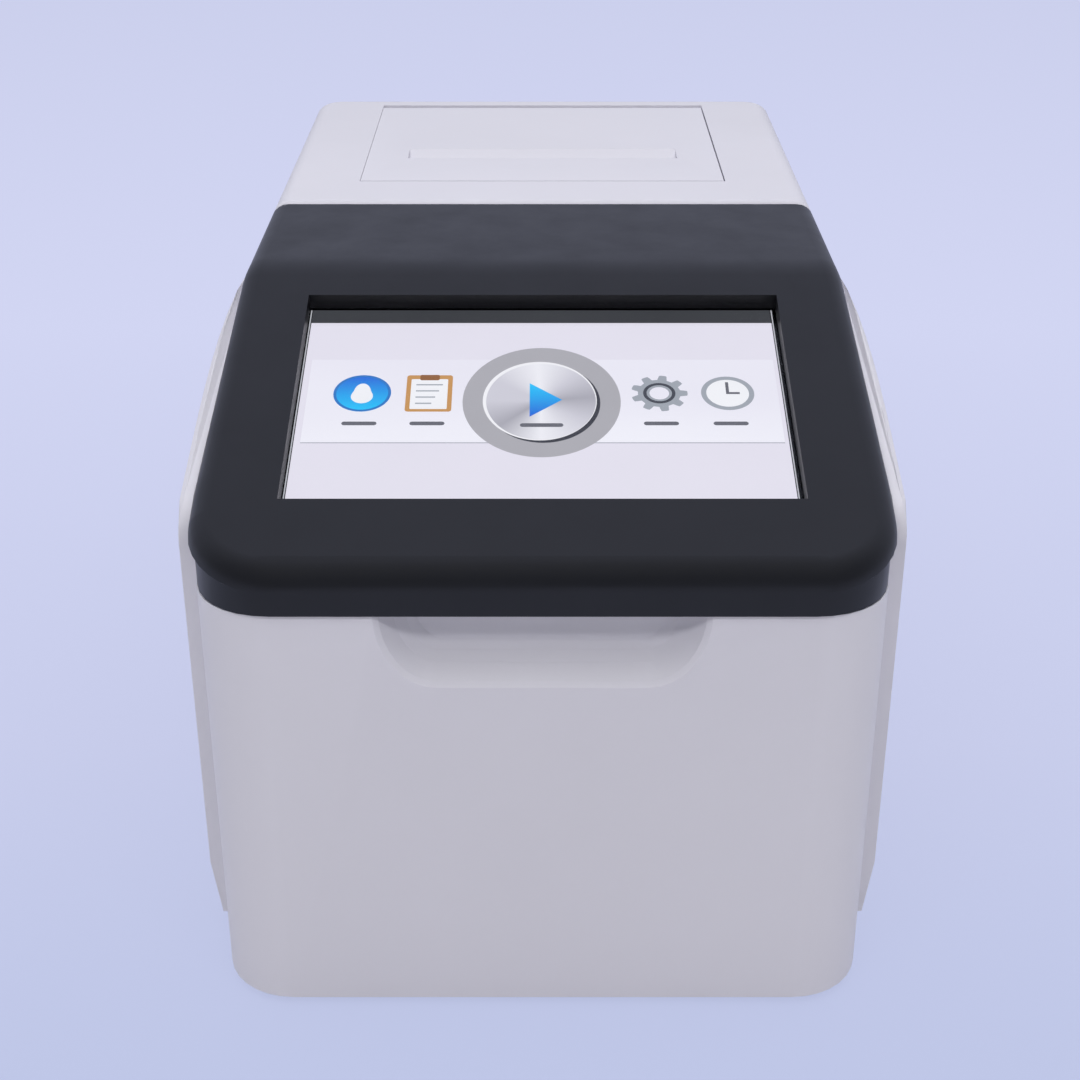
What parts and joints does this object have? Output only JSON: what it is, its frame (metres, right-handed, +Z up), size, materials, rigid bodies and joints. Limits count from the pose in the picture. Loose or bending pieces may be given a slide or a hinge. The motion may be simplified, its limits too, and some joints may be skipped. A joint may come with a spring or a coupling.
{
  "type": "dry chemistry analyzer",
  "caption": "Benchtop dry chemistry analyzer with a sloped touch-screen lid over a heated disc chamber, and a printer paper door in the rear top.",
  "frame": {"origin": "on the table, below the middle of the instrument", "axes": "+Z up, the front with the finger recess faces -Y, +X to the right seen from the front"},
  "size_m": [0.218, 0.383, 0.1995],
  "materials": {
    "white_plastic": "satin",
    "dark_plastic": "satin",
    "grey_plastic": "matte",
    "black_plastic": "matte",
    "rubber": "matte",
    "steel": "brushed",
    "aluminium": "satin",
    "circuit_board": "satin",
    "screen_glass": "gloss",
    "display_panel": "gloss",
    "paper": "matte"
  },
  "bodies": {
    "body": {"lower_housing": "white_plastic", "side_cover_left": "white_plastic", "side_cover_right": "white_plastic", "rear_cover": "white_plastic", "base_plate": "steel", "foot_front_left": "rubber", "foot_front_right": "rubber", "foot_rear_left": "rubber", "foot_rear_right": "rubber", "rear_panel": "grey_plastic", "power_inlet": "black_plastic", "usb_socket": "steel", "lan_socket": "steel", "switch_frame": "black_plastic", "fan_frame": "black_plastic", "main_board": "circuit_board", "power_module": "aluminium", "chamber_deck": "grey_plastic", "disc_chamber": "aluminium", "chamber_seal": "rubber", "heater_ring": "steel", "spindle_motor": "steel", "photometer_block": "black_plastic", "photometer_lens": "screen_glass", "lamp_housing": "aluminium", "lid_switch": "black_plastic", "keeper_left": "steel", "keeper_right": "steel", "hinge_bracket_left": "steel", "hinge_bracket_right": "steel", "hinge_pin_left": "steel", "hinge_pin_right": "steel", "paper_bucket": "grey_plastic", "door_pin_left": "steel", "door_pin_right": "steel", "print_head": "steel", "printer_frame": "black_plastic"},
    "screen_lid": {"screen_bezel": "dark_plastic", "touch_glass": "screen_glass", "display_module": "display_panel", "display_bracket": "steel", "display_board": "circuit_board", "lid_tray": "grey_plastic", "chamber_cover": "black_plastic", "lid_magnet_left": "steel", "lid_magnet_right": "steel"},
    "turntable": {"turntable": "aluminium", "spindle_shaft": "steel"},
    "paper_door": {"paper_door": "white_plastic"},
    "platen": {"platen_roller": "rubber"},
    "drive_gear": {"drive_gear": "grey_plastic"},
    "paper_roll": {"paper_roll": "paper", "paper_core": "grey_plastic"},
    "fan": {"fan_rotor": "black_plastic"},
    "rocker": {"power_switch": "black_plastic"},
    "plunger": {"switch_plunger": "grey_plastic"}
  },
  "joints": [
    {"name": "lid_hinge", "type": "hinge", "parent": "body", "child": "screen_lid", "pos_m": [0, 0.0195, 0.1945], "axis": [-1, 0, 0], "range_deg": [0, 80]},
    {"name": "turntable_spin", "type": "hinge", "parent": "body", "child": "turntable", "pos_m": [0, -0.0925, 0.1165], "axis": [0, 0, 1], "continuous": true},
    {"name": "paper_door_hinge", "type": "hinge", "parent": "body", "child": "paper_door", "pos_m": [0, 0.1731, 0.1947], "axis": [-1, 0, 0], "range_deg": [0, 95]},
    {"name": "platen_spin", "type": "hinge", "parent": "paper_door", "child": "platen", "pos_m": [0, 0.0665, 0.1885], "axis": [1, 0, 0], "continuous": true},
    {"name": "drive_gear_spin", "type": "hinge", "parent": "body", "child": "drive_gear", "pos_m": [0, 0.0665, 0.1762], "axis": [1, 0, 0], "continuous": true},
    {"name": "paper_roll_spin", "type": "hinge", "parent": "body", "child": "paper_roll", "pos_m": [0, 0.1275, 0.1653], "axis": [1, 0, 0], "continuous": true},
    {"name": "fan_spin", "type": "hinge", "parent": "body", "child": "fan", "pos_m": [0.05, 0.1816, 0.08], "axis": [0, 1, 0], "continuous": true},
    {"name": "rocker_tilt", "type": "hinge", "parent": "body", "child": "rocker", "pos_m": [-0.064, 0.1887, 0.08], "axis": [-1, 0, 0], "range_deg": [0, 18]},
    {"name": "plunger_press", "type": "slide", "parent": "body", "child": "plunger", "axis": [0, 0, -1], "range_m": [0, 0.0025], "stiffness_N_per_m": 30}
  ],
  "couplings": [
    {"joint": "drive_gear_spin", "follows": "platen_spin", "ratio": -0.66667}
  ]
}
